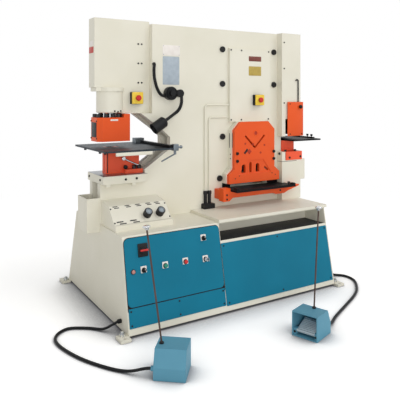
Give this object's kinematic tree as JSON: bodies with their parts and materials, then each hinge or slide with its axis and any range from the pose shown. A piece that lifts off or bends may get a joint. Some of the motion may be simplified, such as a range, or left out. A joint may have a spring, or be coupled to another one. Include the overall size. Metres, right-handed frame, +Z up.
{
  "type": "ironworker machine",
  "caption": "Floor-standing hydraulic ironworker with punching, section-cropping, flat-bar shearing and notching stations on a sloped cabinet, and foot pedals on cables.",
  "frame": {"origin": "centre of the four anchor holes, on the floor", "axes": "+X along the machine towards the notching end, +Y from the operator's side to the back, +Z up"},
  "size_m": [2.2926, 1.8027, 1.963],
  "materials": {
    "cream_paint": "smooth semi-gloss paint",
    "teal_paint": "smooth semi-gloss paint",
    "pedal_paint": "fine hammered paint",
    "orange_paint": "semi-gloss paint",
    "black_paint": "satin paint",
    "ground_steel": "ground",
    "chrome": "polished",
    "cast_alloy": "ribbed casting",
    "black_steel": "blackened",
    "black_plastic": "moulded",
    "black_rubber": "sheath",
    "yellow_plastic": "moulded",
    "red_plastic": "moulded",
    "green_plastic": "moulded",
    "pale_plastic": "moulded",
    "grey_paint": "paint",
    "motor_cast": "painted casting"
  },
  "bodies": {
    "machine": {"base_cabinet": "cream_paint", "deck_table": "cream_paint", "levelling_feet": "cream_paint", "control_panel": "teal_paint", "lower_panel": "teal_paint", "right_panel": "teal_paint", "front_frame_plate": "cream_paint", "rear_frame_plate": "cream_paint", "frame_bolts": "black_steel", "punch_head": "cream_paint", "punch_cylinder": "cream_paint", "punch_bolster": "cream_paint", "slug_box": "cream_paint", "die_holder": "orange_paint", "dies": "black_steel", "punch_table": "ground_steel", "gauge_bar": "black_paint", "tool_rack": "cream_paint", "shear_cover": "cream_paint", "shear_backing": "cream_paint", "section_plate": "orange_paint", "feed_table": "black_paint", "feed_support": "orange_paint", "lower_blade": "ground_steel", "shear_cylinder": "cream_paint", "notch_housing": "cream_paint", "notch_die": "orange_paint", "notch_table": "black_paint", "stop_boxes": "yellow_plastic", "conduit_tubes": "cream_paint", "deck_socket": "black_plastic", "lamp_base": "black_plastic", "lamp_conduit": "black_rubber", "left_pedal_cable": "black_rubber", "right_pedal_cable": "black_rubber", "cable_glands": "black_plastic", "pedal_guards": "pedal_paint", "pedal_rods": "black_paint", "control_bezels": "pale_plastic", "oil_tank": "grey_paint", "pump_motor": "motor_cast"},
    "ram": {"punch_ram": "ground_steel", "punch_tool": "black_steel"},
    "stripper_guard": {"stripper_guard": "orange_paint"},
    "shear_beam": {"shear_beam": "ground_steel"},
    "notch_guard": {"notch_guard": "orange_paint"},
    "gauge_stop": {"gauge_stop": "chrome"},
    "clamp_lever": {"clamp_lever": "chrome"},
    "die_lever": {"die_lever": "chrome"},
    "head_stop_button": {"head_stop_button": "red_plastic"},
    "cover_stop_button": {"cover_stop_button": "red_plastic"},
    "green_button": {"green_button": "green_plastic"},
    "red_button": {"red_button": "red_plastic"},
    "mode_selector": {"mode_selector": "black_plastic"},
    "function_selector": {"function_selector": "black_plastic"},
    "key_switch": {"key_switch": "ground_steel"},
    "main_switch_handle": {"main_switch_handle": "red_plastic"},
    "lamp_arm": {"lamp_arm": "black_plastic"},
    "left_treadle": {"left_treadle": "cast_alloy"},
    "right_treadle": {"right_treadle": "cast_alloy"}
  },
  "joints": [
    {"name": "punch_stroke", "type": "slide", "parent": "machine", "child": "ram", "axis": [0, 0, -1], "range_m": [0, 0.06]},
    {"name": "shear_stroke", "type": "slide", "parent": "machine", "child": "shear_beam", "axis": [0, 0, -1], "range_m": [0, 0.05]},
    {"name": "stripper_height", "type": "slide", "parent": "machine", "child": "stripper_guard", "axis": [0, 0, 1], "range_m": [-0.03, 0]},
    {"name": "notch_guard_lift", "type": "slide", "parent": "machine", "child": "notch_guard", "axis": [0, 0, 1], "range_m": [0, 0.12]},
    {"name": "gauge_stop_travel", "type": "slide", "parent": "machine", "child": "gauge_stop", "axis": [0, 1, 0], "range_m": [-0.42, 0.06]},
    {"name": "clamp_lever_turn", "type": "hinge", "parent": "machine", "child": "clamp_lever", "pos_m": [-0.37, -0.28, 1.05], "axis": [0, 0, 1], "range_deg": [-60, 60]},
    {"name": "die_lever_turn", "type": "hinge", "parent": "machine", "child": "die_lever", "pos_m": [-0.65, -0.037, 1], "axis": [0, 1, 0], "range_deg": [-40, 0]},
    {"name": "head_stop_press", "type": "slide", "parent": "machine", "child": "head_stop_button", "axis": [0, 1, 0], "range_m": [0, 0.006]},
    {"name": "cover_stop_press", "type": "slide", "parent": "machine", "child": "cover_stop_button", "axis": [0, 1, 0], "range_m": [0, 0.006]},
    {"name": "green_press", "type": "slide", "parent": "machine", "child": "green_button", "axis": [0, 0.9817, -0.1906], "range_m": [0, 0.004], "stiffness_N_per_m": 600, "springref_m": -0.001},
    {"name": "red_press", "type": "slide", "parent": "machine", "child": "red_button", "axis": [0, 0.9817, -0.1906], "range_m": [0, 0.004], "stiffness_N_per_m": 600, "springref_m": -0.001},
    {"name": "mode_turn", "type": "hinge", "parent": "machine", "child": "mode_selector", "pos_m": [-0.714, -0.50873, 0.36715], "axis": [0, -0.9817, 0.1906], "range_deg": [-45, 45]},
    {"name": "function_turn", "type": "hinge", "parent": "machine", "child": "function_selector", "pos_m": [-0.271, -0.48396, 0.49477], "axis": [0, -0.9817, 0.1906], "range_deg": [-45, 45]},
    {"name": "key_turn", "type": "hinge", "parent": "machine", "child": "key_switch", "pos_m": [-0.271, -0.5095, 0.36322], "axis": [0, -0.9817, 0.1906], "range_deg": [-90, 0]},
    {"name": "main_switch_turn", "type": "hinge", "parent": "machine", "child": "main_switch_handle", "pos_m": [-0.711, -0.48606, 0.48397], "axis": [0, -0.9817, 0.1906], "range_deg": [-90, 0]},
    {"name": "lamp_swing", "type": "hinge", "parent": "machine", "child": "lamp_arm", "pos_m": [-0.318, -0.13, 1.453], "axis": [0, 1, 0], "range_deg": [-20, 20]},
    {"name": "left_treadle_press", "type": "hinge", "parent": "machine", "child": "left_treadle", "pos_m": [-0.75593, -0.98621, 0.03], "axis": [0.7749, -0.632, 0], "range_deg": [0, 12], "stiffness_Nm_per_rad": 8, "springref_deg": -11.46},
    {"name": "right_treadle_press", "type": "hinge", "parent": "machine", "child": "right_treadle", "pos_m": [0.06737, -1.10174, 0.03], "axis": [-0.3272, 0.9449, 0], "range_deg": [0, 12], "stiffness_Nm_per_rad": 8, "springref_deg": -11.46}
  ]
}
